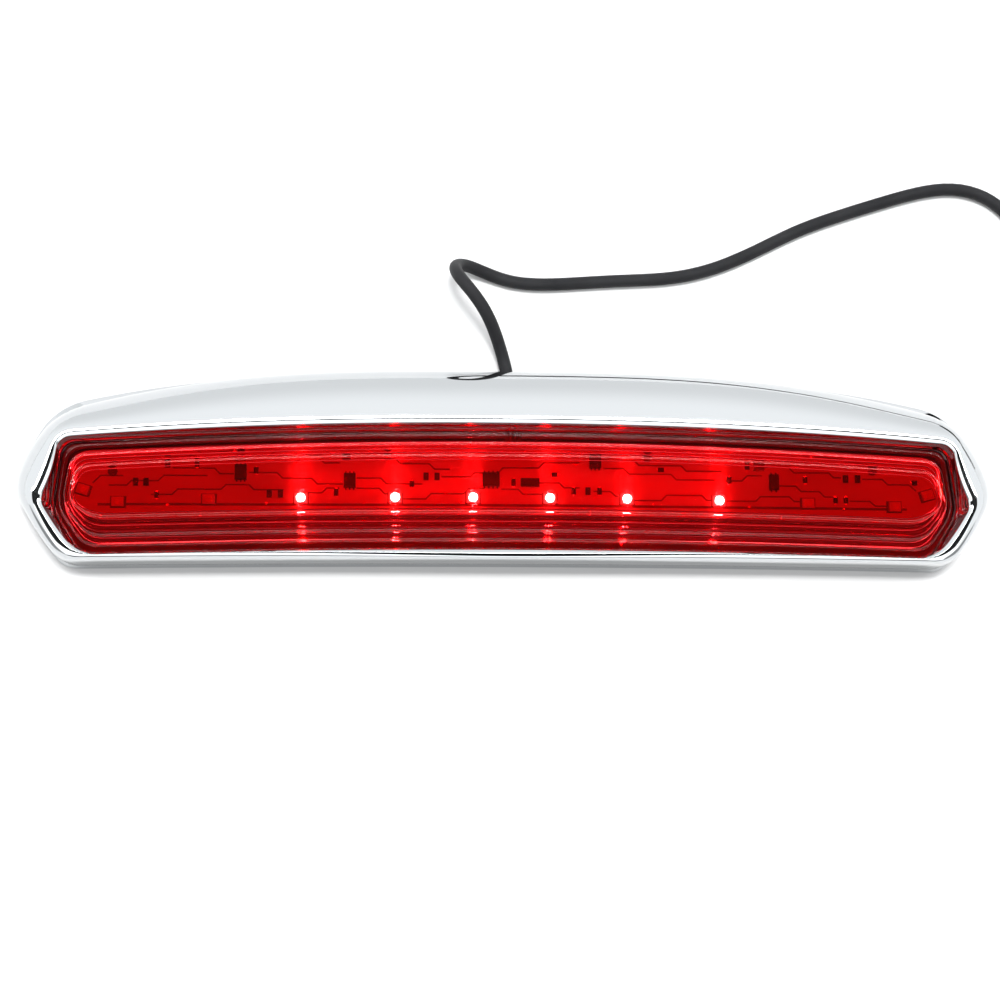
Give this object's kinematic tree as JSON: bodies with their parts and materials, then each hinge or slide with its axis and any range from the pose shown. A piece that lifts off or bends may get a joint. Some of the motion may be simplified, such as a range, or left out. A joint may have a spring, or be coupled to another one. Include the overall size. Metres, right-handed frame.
{
  "type": "third brake light",
  "caption": "Chrome-housed third brake light with a stepped red lens over a row of LEDs, lying on its back with a black sleeved lead.",
  "frame": {"origin": "middle of the lamp's rear rim in plan, on the mounting face, without the lead", "axes": "+X along the lamp to its right end, +Y towards the arched top edge, +Z out of the mounting face towards the lens"},
  "size_m": [0.365, 0.1216, 0.0179],
  "materials": {
    "chrome_plating": "mirror chrome plating on a moulded plastic housing",
    "red_lens": "clear red moulded lens with stepped ridges",
    "black_plastic": "matt black moulded plastic",
    "black_rubber": "matt black rubber",
    "board_enamel": "white enamelled circuit board with fine copper tracks",
    "led_package": "white LED package, unlit",
    "led_lit": "white LED package with a lit window",
    "chip_resin": "moulded black resin",
    "chip_ceramic": "brown ceramic",
    "screw_steel": "zinc-plated steel",
    "red_wire": "red wire insulation",
    "black_wire": "black wire insulation",
    "foam": "dark closed-cell foam with an adhesive face",
    "cord_sleeve": "soft matt black sleeve",
    "brass": "plain brass terminals"
  },
  "bodies": {
    "root": {"chrome_housing": "chrome_plating", "outer_lens": "red_lens", "lens_gasket": "black_rubber", "back_cover": "black_plastic", "board_carrier": "black_plastic", "circuit_board": "board_enamel", "led_01": "led_package", "led_02": "led_package", "led_03": "led_package", "led_04": "led_lit", "led_05": "led_lit", "led_06": "led_lit", "led_07": "led_lit", "led_08": "led_lit", "led_09": "led_lit", "led_10": "led_package", "led_11": "led_package", "led_12": "led_package", "driver_chip": "chip_resin", "transistor_01": "chip_resin", "transistor_02": "chip_resin", "transistor_03": "chip_resin", "transistor_04": "chip_resin", "protection_diode": "chip_resin", "capacitor_01": "chip_ceramic", "resistor_01": "chip_resin", "resistor_02": "chip_resin", "resistor_03": "chip_resin", "resistor_04": "chip_resin", "resistor_05": "chip_resin", "resistor_06": "chip_resin", "resistor_07": "chip_resin", "resistor_08": "chip_resin", "resistor_09": "chip_resin", "resistor_10": "chip_resin", "resistor_11": "chip_resin", "resistor_12": "chip_resin", "cover_screw_01": "screw_steel", "cover_screw_02": "screw_steel", "cover_screw_03": "screw_steel", "cover_screw_04": "screw_steel", "cable_elbow": "black_rubber", "inner_wire_red": "red_wire", "inner_wire_black": "black_wire", "foam_pad_left": "foam", "foam_pad_right": "foam", "cord_sleeve": "cord_sleeve", "cord_coil": "cord_sleeve", "cord_tail": "cord_sleeve", "coil_tie": "black_plastic", "connector_body": "black_plastic", "connector_pin_left": "brass", "connector_pin_right": "brass"}
  },
  "joints": []
}
